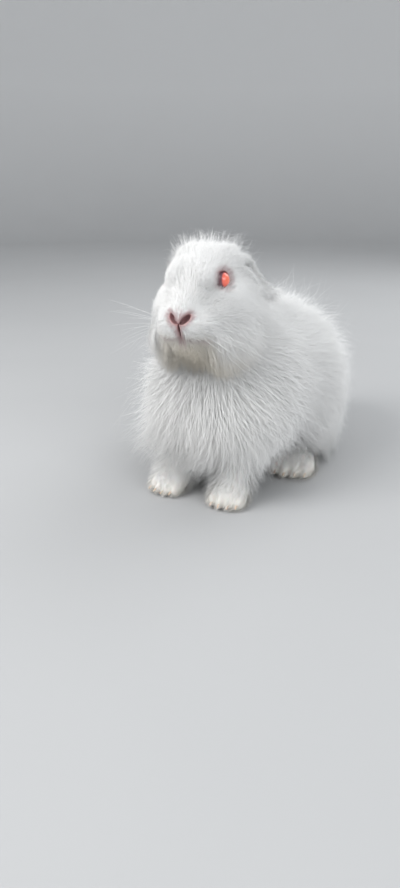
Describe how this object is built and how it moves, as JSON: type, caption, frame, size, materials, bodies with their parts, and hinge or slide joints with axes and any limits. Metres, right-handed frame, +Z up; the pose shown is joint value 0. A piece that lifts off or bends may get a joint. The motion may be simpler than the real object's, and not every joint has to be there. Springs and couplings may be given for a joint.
{
  "type": "angora rabbit",
  "caption": "White red-eyed angora rabbit, life size, sitting on all four feet with its ears laid back.",
  "frame": {"origin": "middle of the rabbit's box on the floor", "axes": "+Z up, the rabbit faces -Y, its left side is +X"},
  "size_m": [0.2114, 0.3542, 0.2604],
  "materials": {
    "wool": "long soft white angora wool",
    "face_fur": "short dense white fur",
    "paw_fur": "plush fur, a little yellowed",
    "ear_skin": "thin pink skin with short white fur",
    "eye": "wet, clear, red of an albino",
    "claw": "pale horn"
  },
  "bodies": {
    "root": {"head": "face_fur", "neck": "wool", "torso": "wool", "tail": "wool", "ear_left": "ear_skin", "eye_left": "eye", "haunch_left": "wool", "foreleg_left": "face_fur", "forepaw_left": "paw_fur", "hind_foot_left": "paw_fur", "claw_fore_left_1": "claw", "claw_hind_left_1": "claw", "claw_fore_left_2": "claw", "claw_hind_left_2": "claw", "claw_fore_left_3": "claw", "claw_hind_left_3": "claw", "claw_fore_left_4": "claw", "claw_hind_left_4": "claw", "ear_right": "ear_skin", "eye_right": "eye", "haunch_right": "wool", "foreleg_right": "face_fur", "forepaw_right": "paw_fur", "hind_foot_right": "paw_fur", "claw_fore_right_1": "claw", "claw_hind_right_1": "claw", "claw_fore_right_2": "claw", "claw_hind_right_2": "claw", "claw_fore_right_3": "claw", "claw_hind_right_3": "claw", "claw_fore_right_4": "claw", "claw_hind_right_4": "claw"}
  },
  "joints": []
}
